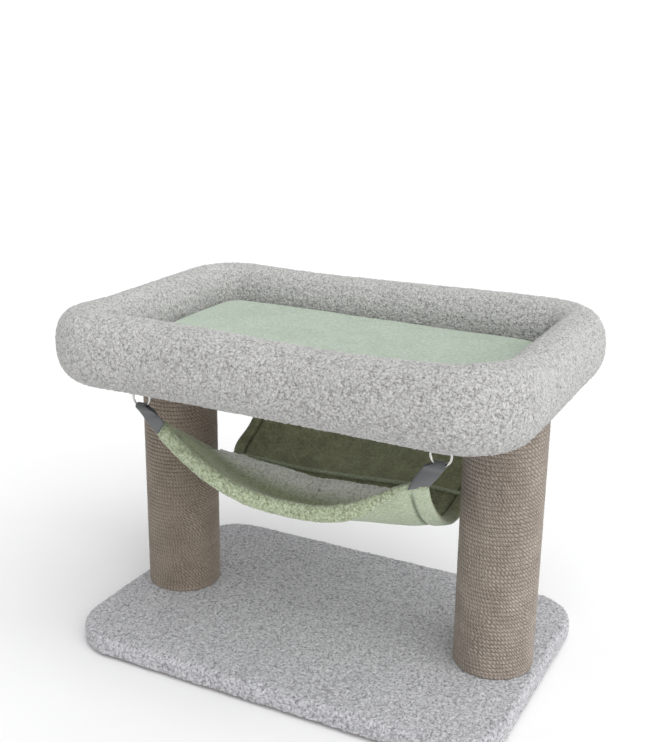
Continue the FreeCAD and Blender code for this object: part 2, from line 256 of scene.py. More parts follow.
# ---------------------------------------------------------------- curly pile, shared by shape and material
def curl_height(tree, position, cell):
    """Height of a curly pile from 0 in the gaps to 1 on the curls; cell is a curl's size in metres."""
    drift = noise_texture(tree, position, 0.7 / cell, 1.0)
    offset = add(tree, "ShaderNodeVectorMath", operation="MULTIPLY_ADD")
    tree.links.new(drift.outputs["Color"], offset.inputs[0])
    offset.inputs[1].default_value = (0.6 * cell,) * 3
    tree.links.new(position, offset.inputs[2])
    warped = offset.outputs[0]
    lumps = add(tree, "ShaderNodeTexVoronoi", {"Scale": 1.0 / cell, "Smoothness": 0.3, "Randomness": 1.0},
                feature="SMOOTH_F1")
    tree.links.new(warped, lumps.inputs["Vector"])
    lines = noise_texture(tree, warped, 1.1 / cell, 1.0, 0.4)
    away = math_node(tree, "ABSOLUTE", math_node(tree, "SUBTRACT", lines.outputs[0], 0.5))
    worm = math_node(tree, "MULTIPLY", away, 7.0, clamp=True)
    away_from_lump = math_node(tree, "MULTIPLY", lumps.outputs["Distance"], 1.35)
    lump = math_node(tree, "SUBTRACT", 1.15, away_from_lump, clamp=True)
    knots = noise_texture(tree, warped, 1.9 / cell, 1.0)
    knot = math_node(tree, "MULTIPLY_ADD", knots.outputs[0], 3.2, clamp=True)
    knot.node.inputs[2].default_value = -1.1
    coarse = math_node(tree, "ADD", math_node(tree, "MULTIPLY", lump, 0.4),
                       math_node(tree, "MULTIPLY", worm, 0.25))
    return math_node(tree, "ADD", coarse, math_node(tree, "MULTIPLY", knot, 0.35))


def curly_material(name, gap_shade, curl, tip, cell, depth, valley=None):
    """Curly plush: dark gaps, lighter curls and pale tips, with fine fibres on top; the dark gap colour is
    painted shade down between the curls.

    The valley colour is painted shade with a greener tone, laid on the part marked by the attribute
    "valley": the pad's hollow behind the front hem.
    """
    made, tree, shader, place = material(name, 0.95, sheen=0.25)
    height = curl_height(tree, place, cell)
    base = ramp(tree, height, [(0.10, gap_shade), (0.6, curl), (0.95, tip)])
    patches = noise_texture(tree, place, 9.0, 3.0)
    shade = ramp(tree, patches.outputs[0], [(0.3, (0.95, 0.95, 0.95)), (0.7, (1.03, 1.03, 1.03))])
    colour = mix_colour(tree, 1.0, base, shade, "MULTIPLY")
    fibres = noise_texture(tree, place, 4.0 / cell, 3.0, 0.7)
    grain = ramp(tree, fibres.outputs[0], [(0.3, (0.88, 0.88, 0.88)), (0.7, (1.1, 1.1, 1.1))])
    # Painted shade in the pad's valley: the marked part is darkened and turned greener.
    if valley:
        marked = add(tree, "ShaderNodeAttribute", attribute_name="valley")
        painted_shade_colour = mix_colour(tree, 1.0, colour, valley, "MULTIPLY")
        colour = mix_colour(tree, marked.outputs["Fac"], colour, painted_shade_colour)
    tree.links.new(mix_colour(tree, 1.0, colour, grain, "MULTIPLY"), shader.inputs["Base Color"])
    relief = math_node(tree, "ADD", height, math_node(tree, "MULTIPLY", fibres.outputs[0], 0.3))
    bump(tree, shader, relief, depth, 0.8)
    return made


PILE_LEVEL = 0.55


def pile_modifier(piece, cell, depth):
    """Raise the piece's surface by the same curls that its material shows."""
    tree = bpy.data.node_groups.new(piece.name + "_pile", "GeometryNodeTree")
    tree.interface.new_socket(name="Geometry", in_out="INPUT", socket_type="NodeSocketGeometry")
    tree.interface.new_socket(name="Geometry", in_out="OUTPUT", socket_type="NodeSocketGeometry")
    entry, leave = add(tree, "NodeGroupInput"), add(tree, "NodeGroupOutput")
    place = add(tree, "GeometryNodeInputPosition").outputs[0]
    height = curl_height(tree, place, cell)
    amount = math_node(tree, "MULTIPLY", math_node(tree, "SUBTRACT", height, PILE_LEVEL), depth)
    push = add(tree, "ShaderNodeVectorMath", operation="SCALE")
    tree.links.new(add(tree, "GeometryNodeInputNormal").outputs[0], push.inputs[0])
    tree.links.new(amount, push.inputs["Scale"])
    move = add(tree, "GeometryNodeSetPosition")
    tree.links.new(entry.outputs[0], move.inputs["Geometry"])
    tree.links.new(push.outputs[0], move.inputs["Offset"])
    tree.links.new(move.outputs["Geometry"], leave.inputs[0])
    modifier = piece.modifiers.new("pile", "NODES")
    modifier.node_group = tree
    return piece


# ---------------------------------------------------------------- materials
def velvet_material(name, low, high, sheen=0.5, painted_inside_shade=None, grain=0.1):
    """Short smooth pile with brushed patches and fine fuzz.

    The inside colour is painted shade, darker and more olive, on the side marked by the attribute "inside":
    the sling's hollow, which lies in shade under the bed. Stitched grooves get painted shade, darker where
    "crease" says so.
    A smaller grain sets the two colours further apart.
    """
    made, tree, shader, place = material(name, 0.9, sheen=sheen, sheen_tint=(0.9, 1.0, 0.9))
    patches = noise_texture(tree, place, 22.0, 4.0, 0.6)
    speckle = noise_texture(tree, place, 380.0, 3.0, 0.75)
    factor = math_node(tree, "ADD", math_node(tree, "MULTIPLY", patches.outputs[0], 0.2),
                       math_node(tree, "MULTIPLY", speckle.outputs[0], 0.8))
    colour = ramp(tree, factor, [(0.5 - grain, low), (0.5 + grain, high)])
    # Painted shade: the inside colour darkens the sling's hollow, and the crease colour its stitched
    # grooves.
    if painted_inside_shade:
        marked = add(tree, "ShaderNodeAttribute", attribute_name="inside")
        painted_shade_colour = mix_colour(tree, 1.0, colour, painted_inside_shade, "MULTIPLY")
        colour = mix_colour(tree, marked.outputs["Fac"], colour, painted_shade_colour)
        nap = noise_texture(tree, place, 75.0, 4.0, 0.65)
        mottle = ramp(tree, nap.outputs[0], [(0.36, (0.84, 0.84, 0.84)), (0.64, (1.16, 1.16, 1.16))])
        mottled = mix_colour(tree, 1.0, colour, mottle, "MULTIPLY")
        colour = mix_colour(tree, marked.outputs["Fac"], colour, mottled)
        # Painted shade in the stitched grooves, darker where the crease attribute is high.
        crease = add(tree, "ShaderNodeAttribute", attribute_name="crease")
        painted_groove_shade = mix_colour(tree, 1.0, colour, (0.4, 0.4, 0.36), "MULTIPLY")
        colour = mix_colour(tree, crease.outputs["Fac"], colour, painted_groove_shade)
    tree.links.new(colour, shader.inputs["Base Color"])
    bump(tree, shader, factor, 0.0012, 0.8)
    return made


STRANDS, STRAND_PITCH = 3, 0.0036


def sisal_material(name, shade=(1, 1, 1)):
    """Twisted natural rope: strands across the rope's line, loose fibres and colour drift.

    shade multiplies the rope's colour; for the left post it is painted shade, darkening that rope for the
    shadow it stands in under the bed.
    """
    made, tree, shader, place = material(name, 0.82, sheen=0.15)
    along = add(tree, "ShaderNodeSeparateXYZ")
    tree.links.new(add(tree, "ShaderNodeUVMap", uv_map="UVMap").outputs[0], along.inputs[0])
    wander = noise_texture(tree, place, 24.0, 2.0)
    turn = math_node(tree, "MULTIPLY", along.outputs[0], 2 * math.pi / STRAND_PITCH)
    turn = math_node(tree, "ADD", turn, math_node(tree, "MULTIPLY", wander.outputs[0], 34.0))
    lay = math_node(tree, "ADD", turn, math_node(tree, "MULTIPLY", along.outputs[1], STRANDS * 2 * math.pi))
    strand = math_node(tree, "MULTIPLY_ADD", math_node(tree, "SINE", lay), 0.5)
    strand.node.inputs[2].default_value = 0.5
    stretch = add(tree, "ShaderNodeCombineXYZ")
    tree.links.new(math_node(tree, "MULTIPLY", along.outputs[0], 260.0), stretch.inputs[0])
    tree.links.new(math_node(tree, "MULTIPLY", lay, 1.6), stretch.inputs[1])
    fibres = noise_texture(tree, stretch.outputs[0], 1.0, 4.0, 0.7)
    drift = noise_texture(tree, place, 28.0, 3.0, 0.6)
    grain = noise_texture(tree, place, 430.0, 3.0, 0.7)
    tone = math_node(tree, "ADD", math_node(tree, "MULTIPLY", strand, 0.14),
                     math_node(tree, "ADD", math_node(tree, "MULTIPLY", fibres.outputs[0], 0.3),
                               math_node(tree, "MULTIPLY", drift.outputs[0], 0.16)))
    tone = math_node(tree, "ADD", tone, math_node(tree, "MULTIPLY", grain.outputs[0], 0.37))
    colour = ramp(tree, tone, [(0.34, (0.105, 0.083, 0.065)), (0.5, (0.30, 0.25, 0.205)),
                               (0.66, (0.56, 0.49, 0.415))])
    tree.links.new(mix_colour(tree, 1.0, colour, shade, "MULTIPLY"), shader.inputs["Base Color"])
    relief = math_node(tree, "ADD", math_node(tree, "MULTIPLY", strand, 0.45), fibres.outputs[0])
    relief = math_node(tree, "ADD", relief, math_node(tree, "MULTIPLY", grain.outputs[0], 0.6))
    bump(tree, shader, relief, 0.0008)
    return made


def webbing_material():
    """Dark grey polyester webbing with a fine ribbed weave."""
    made, tree, shader, place = material("grey_webbing", 0.55, sheen=0.3)
    ribs = add(tree, "ShaderNodeTexWave", {"Scale": 330.0, "Distortion": 0.6, "Detail": 1.0},
               bands_direction="X")
    tree.links.new(place, ribs.inputs["Vector"])
    cross = add(tree, "ShaderNodeTexWave", {"Scale": 260.0, "Distortion": 0.6}, bands_direction="Z")
    tree.links.new(place, cross.inputs["Vector"])
    weave = math_node(tree, "MULTIPLY", ribs.outputs["Fac"], cross.outputs["Fac"])
    tree.links.new(ramp(tree, weave, [(0.0, (0.085, 0.092, 0.094)), (1.0, (0.19, 0.2, 0.203))]),
                   shader.inputs["Base Color"])
    bump(tree, shader, weave, 0.0003)
    return made


def chrome_material():
    """Bright plated wire with faint draw marks."""
    made, tree, shader, place = material("chrome_wire", 0.18, 1.0)
    shader.inputs["Base Color"].default_value = (0.6, 0.6, 0.58, 1)
    marks = noise_texture(tree, place, 700.0, 3.0)
    low = math_node(tree, "MULTIPLY", marks.outputs[0], 0.25)
    tree.links.new(math_node(tree, "ADD", low, 0.08), shader.inputs["Roughness"])
    bump(tree, shader, marks.outputs[0], 0.00005, 0.3)
    return made


def board_material(name, dark, pale):
    """Raw particle board: flat chips of several browns."""
    made, tree, shader, place = material(name, 0.8)
    chips = add(tree, "ShaderNodeTexVoronoi", {"Scale": 420.0, "Randomness": 1.0})
    tree.links.new(place, chips.inputs["Vector"])
    dust = noise_texture(tree, place, 900.0, 3.0)
    tone = math_node(tree, "ADD", math_node(tree, "MULTIPLY", chips.outputs["Color"], 0.7),
                     math_node(tree, "MULTIPLY", dust.outputs[0], 0.3))
    tree.links.new(ramp(tree, tone, [(0.15, dark), (0.85, pale)]), shader.inputs["Base Color"])
    bump(tree, shader, tone, 0.0002)
    return made


def plain_material(name, low, high, scale, roughness, metallic=0.0, relief=0.0001):
    """Fine mottled finish for moulded, wound, felted or zinc-plated pieces."""
    made, tree, shader, place = material(name, roughness, metallic)
    mottle = noise_texture(tree, place, scale, 4.0, 0.6)
    tree.links.new(ramp(tree, mottle.outputs[0], [(0.3, low), (0.7, high)]), shader.inputs["Base Color"])
    bump(tree, shader, mottle.outputs[0], relief, 0.5)
    return made


RIM_CELL, BASE_CELL, SHERPA_CELL = 0.0036, 0.0042, 0.0040
# The first colour of each curly plush is painted shade for the gaps between its curls.
rim_plush = curly_material("grey_plush_rim", (0.195, 0.193, 0.185), (0.47, 0.467, 0.453),
                           (0.63, 0.625, 0.61), RIM_CELL, 0.0016)
base_plush = curly_material("grey_plush_base", (0.17, 0.168, 0.18), (0.50, 0.498, 0.518),
                            (0.66, 0.658, 0.68), BASE_CELL, 0.0018)
green_sherpa = curly_material("green_sherpa", (0.16, 0.19, 0.10), (0.41, 0.47, 0.315),
                              (0.56, 0.62, 0.455), SHERPA_CELL, 0.0014)
# The lining's pale grey is partly its own tone and partly painted sheen: the backlit grey of the pad's
# crest is painted into its colour.
sheen_painted_sherpa = curly_material("grey_green_sherpa", (0.52, 0.535, 0.46), (0.90, 0.91, 0.85),
                             (0.93, 0.935, 0.89), SHERPA_CELL, 0.0014, (0.42, 0.47, 0.31))
mat_velvet = velvet_material("mat_velvet", (0.25, 0.31, 0.235), (0.385, 0.45, 0.365), grain=0.075)
# Its third colour is painted shade for the sling's inside, which lies under the bed.
green_flannel = velvet_material("green_flannel", (0.33, 0.385, 0.26), (0.50, 0.565, 0.41), 0.3,
                                (0.63, 0.57, 0.475), 0.07)
# The left rope's colour is darkened by painted shade for the shadow it stands in under the bed.
sisal = {"left": sisal_material("sisal_rope_left", (0.84, 0.81, 0.76)),
         "right": sisal_material("sisal_rope_right")}
webbing = webbing_material()
chrome = chrome_material()
board = board_material("particle_board", (0.30, 0.21, 0.12), (0.68, 0.54, 0.36))
plug_wood = board_material("plug_wood", (0.45, 0.32, 0.19), (0.72, 0.58, 0.40))
cardboard = plain_material("cardboard", (0.30, 0.21, 0.13), (0.42, 0.31, 0.2), 240.0, 0.9)
zinc = plain_material("zinc_steel", (0.45, 0.45, 0.44), (0.62, 0.62, 0.6), 500.0, 0.35, 1.0)
rubber = plain_material("rubber", (0.02, 0.02, 0.02), (0.045, 0.045, 0.045), 600.0, 0.85)
felt = plain_material("felt", (0.16, 0.17, 0.155), (0.28, 0.29, 0.27), 700.0, 0.95, 0.0, 0.0004)


# ---------------------------------------------------------------- bed rim
RIM_LOW, RIM_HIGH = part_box("rim_cover")
RIM_HALF_WIDTH, RIM_CORNER, RIM_POWER = 31.0, 50.0, 2.35
RIM_HALF_HEIGHT = (RIM_HIGH.z - RIM_LOW.z) / 2 / MM
RIM_X, RIM_Y = RIM_HIGH.x / MM - RIM_HALF_WIDTH, RIM_HIGH.y / MM - RIM_HALF_WIDTH
RIM_Z = (RIM_HIGH.z + RIM_LOW.z) / 2 / MM


def rounded_loop(half_x, half_y, corner, step):
    """Evenly spaced points and outward normals round a rounded rectangle.

    They run anticlockwise from the right side.
    """
    straight_x, straight_y = 2 * (half_x - corner), 2 * (half_y - corner)
    bend = math.pi * corner / 2
    runs = [straight_y, bend, straight_x, bend] * 2
    total = sum(runs)
    count = int(round(total / step))
    centres = [(1, 1), (-1, 1), (-1, -1), (1, -1)]
    starts = [(half_x, -straight_y / 2), (straight_x / 2, half_y),
              (-half_x, straight_y / 2), (-straight_x / 2, -half_y)]
    points, normals = [], []
    for s in np.arange(count) * total / count:
        run = 0
        while s > runs[run]:
            s -= runs[run]
            run += 1
        side, turn = run // 2, (run // 2) * math.pi / 2
        if run % 2 == 0:
            x, y = starts[side]
            points.append((x - math.sin(turn) * s, y + math.cos(turn) * s))
            normals.append((math.cos(turn), math.sin(turn)))
        else:
            angle = turn + s / corner
            sx, sy = centres[side]
            points.append((sx * straight_x / 2 + corner * math.cos(angle),
                           sy * straight_y / 2 + corner * math.sin(angle)))
            normals.append((math.cos(angle), math.sin(angle)))
    return np.array(points), np.array(normals)


def oval(half_width, half_height, power, step):
    """Evenly spaced points round a superellipse."""
    angle = np.linspace(0, 2 * math.pi, 1441)
    c, s = np.cos(angle), np.sin(angle)
    curve = np.stack([np.sign(c) * np.abs(c) ** (2 / power) * half_width,
                      np.sign(s) * np.abs(s) ** (2 / power) * half_height], 1)
    length = np.concatenate([[0], np.cumsum(np.linalg.norm(np.diff(curve, axis=0), axis=1))])
    at = np.linspace(0, length[-1], int(length[-1] / step) + 1)[:-1]
    return np.stack([np.interp(at, length, curve[:, k]) for k in range(2)], 1)


RIM_STEP, RIM_SLACK = 1.9, 0.6
CREST_FRONT, CREST_LEFT_END, CREST_RIGHT_END, CREST_MIDDLE = 9.5, 4.5, 3.0, 3.4
CREST_BACK_RIGHT, CREST_BACK_LEFT = 2.6, 1.5
CREST_WAVE, GIRTH_WAVE = 0.9, 0.7


def rim_crest(path, share):
    """How far the rim's top stands above an even roll, for each point of its path.

    Its front is plumper, most of all at the right corner, and dips right of the middle.
    """
    front = smoothstep(-RIM_Y * 0.35, -RIM_Y * 0.95, path[:, 1])
    back = smoothstep(RIM_Y * 0.55, RIM_Y * 0.95, path[:, 1])
    across = path[:, 0] / RIM_X
    crest = front * (CREST_FRONT - CREST_LEFT_END * np.clip(-across, 0, 1) ** 8
                     + CREST_RIGHT_END * np.exp(-((across - 0.95) / 0.22) ** 2)
                     - CREST_MIDDLE * np.exp(-((across - 0.25) / 0.45) ** 2))
    crest += back * (CREST_BACK_RIGHT * smoothstep(-0.1, 0.8, across)
                     - CREST_BACK_LEFT * np.exp(-((across + 0.45) / 0.3) ** 2))
    return crest + CREST_WAVE * waves(share, 3, 7)


def make_rim():
    """Fat bolster: an oval section round the bed, softer and less even than the foam roll inside."""
    path, normal = rounded_loop(RIM_X, RIM_Y, RIM_CORNER, RIM_STEP)
    section = oval(RIM_HALF_WIDTH - RIM_SLACK, RIM_HALF_HEIGHT - RIM_SLACK, RIM_POWER, RIM_STEP)
    share = np.arange(len(path)) / len(path)
    crest = rim_crest(path, share)
    fat = GIRTH_WAVE * waves(share, 5, 9)
    out, up = section[None, :, 0], section[None, :, 1]
    high = np.clip(0.5 + 0.5 * up / RIM_HALF_HEIGHT, 0, 1)
    radial = out + fat[:, None] * out / RIM_HALF_WIDTH
    z = RIM_Z + up + crest[:, None] * high
    xy = path[:, None, :] + normal[:, None, :] * radial[:, :, None]
    points = np.concatenate([xy, z[:, :, None]], 2).reshape(-1, 3)
    rim = mesh_object("rim_bolster", points, grid_faces(len(path), len(section), True, True), rim_plush)
    fix_normals(rim)
    puff(rim, 5.0, 3.0, (1.2, 1.2, 1.2))
    pile_modifier(rim, RIM_CELL, 0.0024)
    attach(rim, "frame")
    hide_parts("rim_cover", "rim_foam")


# ---------------------------------------------------------------- plush panels
def plush_slab(name, low, high, corner, edge, size, lay, cell, depth):
    """Remeshed rounded slab with a curly pile. low and high are its corners in metres."""
    half_x, half_y = (high.x - low.x) / 2 / MM, (high.y - low.y) / 2 / MM
    rings, points = 0, []
    steps = 6
    height = (high.z - low.z) / MM
    profile = [(0, 0), (0, height - edge)]
    profile += [(edge * (1 - math.cos(a)), height - edge + edge * math.sin(a))
                for a in (k * math.pi / 2 / steps for k in range(1, steps + 1))]
    for inset, z in profile:
        loop, _ = rounded_loop(half_x - inset, half_y - inset, corner - inset, 6.0)
        if not rings:
            count = len(loop)
        index = (np.arange(count) * len(loop) / count).astype(int)
        points.append(np.column_stack([loop[index], np.full(count, low.z / MM + z)]))
        rings += 1
    faces = [list(f) for f in grid_faces(rings, count, False, True)]
    faces.append(list(range((rings - 1) * count, rings * count)))
    faces.append(list(range(count))[::-1])
    slab = mesh_object(name, np.concatenate(points), faces, lay)
    fix_normals(slab)
    remesh = slab.modifiers.new("even", "REMESH")
    remesh.mode, remesh.voxel_size, remesh.use_smooth_shade = "VOXEL", size * MM, True
    calm = slab.modifiers.new("calm", "SMOOTH")
    calm.factor, calm.iterations = 0.5, 2
    pile_modifier(slab, cell, depth)
    return slab


def make_base():
    """Plush over the lower board."""
    low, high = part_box("base_cover")
    cover = plush_slab("base_plush", low, high, 60.0, 6.0, 2.6, base_plush, BASE_CELL, 0.0030)
    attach(cover, "frame")
    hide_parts("base_cover")


def make_bed_underside():
    """Plush under the bed board."""
    low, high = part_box("bed_cover")
    panel = plush_slab("bed_underside_plush", low, high, 50.0, 1.5, 3.0, rim_plush, RIM_CELL, 0.0012)
    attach(panel, "frame")
    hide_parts("bed_cover")


# ---------------------------------------------------------------- mat
MAT_SLACK, MAT_CROWN, MAT_RIPPLE = 1.2, 0.8, 0.9


def make_mat():
    """Loose mat, slightly crowned, its top edge rolled over and its sides tucked in at the bottom."""
    low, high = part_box("mat_cover")
    half_x, half_y = high.x / MM - MAT_SLACK, high.y / MM - MAT_SLACK
    top = high.z / MM
    thick = (high.z - low.z) / MM
    round_edge, corner = 4.5, 18.0
    profile = [(2.5, 0.0), (1.0, 2.0), (0.2, 5.0), (0.0, thick - round_edge)]
    for k in range(1, 7):
        a = k * math.pi / 12
        profile.append((round_edge * (1 - math.cos(a)), thick - round_edge + round_edge * math.sin(a)))
    count = None
    rings = []
    for inset, z in profile:
        loop, _ = rounded_loop(half_x - inset, half_y - inset, max(corner - inset, 2), 5.0)
        count = count or len(loop)
        index = (np.arange(count) * len(loop) / count).astype(int)
        rings.append(np.column_stack([loop[index], np.full(count, top - thick + z)]))
    edge = rings[-1]
    for share in np.linspace(0.97, 0.0, 34)[:-1]:
        rings.append(np.column_stack([edge[:, :2] * share, np.full(count, top)]))
    points = np.concatenate(rings + [[[0, 0, top]]])
    faces = [list(f) for f in grid_faces(len(rings), count, False, True)]
    last = (len(rings) - 1) * count
    faces += [[last + k, last + (k + 1) % count, len(points) - 1] for k in range(count)]
    faces.append(list(range(count))[::-1])
    x, y = points[:, 0] / half_x, points[:, 1] / half_y
    inside = np.clip(1 - np.maximum(np.abs(x), np.abs(y)), 0, 1)
    upper = points[:, 2] > top - round_edge
    ripple = waves(points[:, 0], 11, 4, 300.0) * waves(points[:, 1], 12, 4, 230.0)
    points[:, 2] += upper * (MAT_RIPPLE * ripple - MAT_CROWN)
    points[:, 2] += upper * MAT_CROWN * smoothstep(0, 0.25, inside)
    mat = mesh_object("mat_cushion", points, faces, mat_velvet)
    fix_normals(mat)
    puff(mat, 5.0, 4.0, (0.9, 0.9, 4.0), floor=low.z / MM)
    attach(mat, "mat")
    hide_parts("mat_cover", "mat_foam")


# ---------------------------------------------------------------- sisal posts
ROPE = 5.0


def make_rope(side):
    """Rope wound in touching turns round a post, as one closed helical tube.

    Its first and last turns lie level.
    """
    low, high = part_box("sisal_rope_" + side)
    x0 = (low.x + high.x) / 2 / MM
    radius = (high.x - low.x) / 2 / MM - ROPE / 2
    bottom, top = low.z / MM + ROPE / 2, high.z / MM - ROPE / 2
    turns = (top - bottom) / (ROPE * 0.985) + 2
    steps, around = 80, 10
    count = int(turns * steps) + 1
    t = np.arange(count) / steps
    angle = 2 * math.pi * t
    wobble = 0.12 * waves(t, 21 if side == "left" else 22, 6, 9.0)
    thick = ROPE / 2 * (1.03 + 0.03 * waves(t, 23, 6, 3.3))
    roll = 2 * math.pi * np.arange(around) / around
    flat = 0.55
    wide, tall = (np.sign(a) * np.abs(a) ** flat for a in (np.cos(roll), np.sin(roll)))
    out = (radius + wobble)[:, None] + thick[:, None] * wide[None]
    rise = thick[:, None] * tall[None]
    climb = np.clip(t - 1, 0, t[-1] - 2) / (t[-1] - 2)
    z = (bottom + (top - bottom) * climb)[:, None] + rise
    x, y = x0 + out * np.cos(angle)[:, None], out * np.sin(angle)[:, None]
    points = np.stack([x, y, z], 2).reshape(-1, 3)
    faces = [list(f) for f in grid_faces(count, around, False, True)]
    faces += [list(range(around))[::-1], list(range((count - 1) * around, count * around))]
    mesh_faces = np.array(faces[:-2])
    rope = mesh_object("rope_winding_" + side, points, faces, sisal[side])
    layer = rope.data.uv_layers.new(name="UVMap")
    column = mesh_faces % around
    row = mesh_faces // around
    wrapped = (column.max(1) - column.min(1) > around / 2)[:, None] & (column == 0)
    v = (column + wrapped * around) / around
    u = row / steps * 2 * math.pi * radius * MM
    pairs = np.stack([u, v], 2).reshape(-1, 2)
    pairs = np.concatenate([pairs, np.zeros((2 * around, 2))])
    layer.data.foreach_set("uv", pairs.astype(np.float32).ravel())
    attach(rope, "frame")
    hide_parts("sisal_rope_" + side)


# ---------------------------------------------------------------- hammock
SLING_X, SLING_FLARE_LEFT, SLING_FLARE_RIGHT, SLING_LEFT_LEAN = 151.0, 5.0, 15.0, 11.0
SLING_Y, SLING_BULGE = 112.0, 8.0
SLING_BOTTOM, SLING_EDGE = 176.0, 222.0
CORNER_RISE_LEFT, CORNER_RISE_RIGHT, CORNER_RISE_BACK = 60.0, 48.0, 48.0
SEAM = 0.40


def sling_point(u, v):
    """Middle surface of the sling, near the CAD's: u along X and v from front to back, both -1 to 1.

    The cloth hangs a little unevenly: its front left corner is drawn up and in, its left end leans
    out at the back wall, and its right end is rounder.
    """
    x = u * (SLING_X + np.where(u < 0, SLING_FLARE_LEFT, SLING_FLARE_RIGHT) * v * v)
    x -= SLING_LEFT_LEAN * np.clip(-u, 0, 1) ** 3 * np.exp(-((v - 0.52) / 0.2) ** 2)
    y = v * (SLING_Y + SLING_BULGE * (1 - u * u))
    bottom = SLING_BOTTOM + u * u * (9.0 - 6.0 * u)
    steep = np.abs(u)
    rise_front = np.where(u < 0, CORNER_RISE_LEFT * steep ** 2.2,
                          CORNER_RISE_RIGHT * (2.3 * steep ** 3 - 1.3 * steep ** 6))
    rise_back = CORNER_RISE_BACK * steep ** 2 * (1.6 - 0.6 * steep)
    lowest = 0.08 + u * u * np.where(u < 0, 0.18, 0.06)
    front = v < lowest
    reach = np.abs(v - lowest) / np.where(front, 1 + lowest, 1 - lowest)
    power_front = np.where(u < 0, 2.2 - 1.05 * u * u, 2.3 - 0.7 * smoothstep(0.75, 1.0, u))
    power = np.where(front, power_front, 1.6 + 0.8 * u * u)
    edge = SLING_EDGE + np.where(front, rise_front, rise_back)
    return np.stack([x, y, bottom + (edge - bottom) * reach ** power], -1)


def sling_normal(u, v):
    """Unit normal of the sling, up and into its hollow."""
    step = 0.01
    along = sling_point(np.minimum(u + step, 1), v) - sling_point(np.maximum(u - step, -1), v)
    across = sling_point(u, np.minimum(v + step, 1)) - sling_point(u, np.maximum(v - step, -1))
    normal = np.cross(along, across)
    return normal / np.linalg.norm(normal, axis=-1, keepdims=True)


def sling_grid(u_range, v_range, rows, columns):
    return np.meshgrid(np.linspace(*u_range, rows), np.linspace(*v_range, columns), indexing="ij")


END_HEM_LEFT, END_HEM_RIGHT, END_HEM_THICK, SHELL_HALF, GROOVE_DEPTH = 13.0, 17.0, 9.0, 2.2, 1.9


def dense_ends(count):
    """Values from -1 to 1 that lie closer together near both ends."""
    even = np.linspace(-1, 1, count)
    return 0.45 * even + 0.55 * np.sin(even * math.pi / 2)


def make_shell():
    """Smooth cloth sling with thick rolled hems on its open ends."""
    u, v = np.meshgrid(dense_ends(210), np.linspace(-1, 1, 130), indexing="ij")
    middle, normal = sling_point(u, v), sling_normal(u, v)
    end = (1 - np.abs(u)) * SLING_X
    hem = np.where(u < 0, END_HEM_LEFT, END_HEM_RIGHT)
    share = np.clip(end / hem, 0, 1)
    roll = (4 * share * (1 - share)) ** 0.45
    groove = np.exp(-((end - hem - 0.6) / 1.6) ** 2) * smoothstep(-1.0, -0.8, v)
    half = SHELL_HALF + (END_HEM_THICK / 2 - SHELL_HALF) * roll - GROOVE_DEPTH * groove
    half *= 0.3 + 0.7 * smoothstep(0, 1.2, end)
    ripple = 0.8 * waves(u, 31, 6, 1.4) * smoothstep(1.0, 0.5, np.abs(v)) + 0.5 * waves(v, 32, 5, 1.1)
    middle = middle + normal * ripple[..., None]
    points, faces = closed_sheet(middle + normal * half[..., None], middle - normal * half[..., None])
    # The inner face is marked for the flannel's painted inside shade and the grooves for its painted groove
    # shade; the outer face gets no inside shade.
    inside = np.repeat([1.0, 0.0], len(points) // 2)
    values = {"inside": inside, "crease": np.tile(groove.ravel(), 2)}
    return fix_normals(mesh_object("sling_shell", points, faces, green_flannel, values=values))


PAD_FRONT, PAD_CREST, PAD_LEFT, PAD_RIGHT = -0.88, -0.22, -0.95, 0.72
PAD_THICK, PAD_EDGE, PAD_HUMP, PAD_HUMP_RIGHT = 5.0, 2.0, 27, 4


def pad_back(u):
    """Where the pad ends towards the back wall: it stops short of the seam most near the middle left."""
    return 0.25 + 0.13 * np.clip((-0.25 - u) / 0.7, 0, 1) ** 1.5 + np.clip(0.17 * (u + 0.25), 0, 0.11)


def seam_line(u):
    """Where the corded seam runs across the back wall."""
    return np.maximum(SEAM + 0.1 * u, SEAM - 0.05)


def make_lining():
    """Curly-lined pad in the sling: a valley behind the front hem, then a crest that rounds off."""
    u, share = sling_grid((PAD_LEFT, PAD_RIGHT), (0, 1), 190, 110)
    back = pad_back(u)
    v = PAD_FRONT + (back - PAD_FRONT) * share
    middle, normal = sling_point(u, v), sling_normal(u, v)
    across = np.where(v < PAD_CREST, smoothstep(-0.52, PAD_CREST, v),
                      1 - smoothstep(PAD_CREST, 0.24, v))
    along = np.where(u < 0, 1 - np.abs(u) ** 4.5, 1 - smoothstep(0.52, 0.74, u))
    hump = (PAD_HUMP + PAD_HUMP_RIGHT * smoothstep(-0.1, 0.3, u)) * across * along
    lift = PAD_THICK + hump + 1.5 * waves(u, 35, 6, 1.3) * across + 0.8 * waves(v, 36, 5, 0.8)
    edge = np.minimum.reduce([(v - PAD_FRONT) / 0.05, (back - v) / 0.05,
                              (u - PAD_LEFT) / 0.04, (PAD_RIGHT - u) / 0.05])
    lift = PAD_EDGE + (lift - PAD_EDGE) * smoothstep(0, 1, edge) ** 0.5
    points, faces = closed_sheet(middle + normal * lift[..., None], middle + normal * 1.6)
    # The front of the pad, down in the valley behind the hem, gets painted shade with a greener tone.
    valley = np.tile((1 - smoothstep(-0.46, -0.30, v)).ravel(), 2)
    lining = mesh_object("sling_lining_pad", points, faces, sheen_painted_sherpa, values={"valley": valley})
    return pile_modifier(fix_normals(lining), SHERPA_CELL, 0.0028)


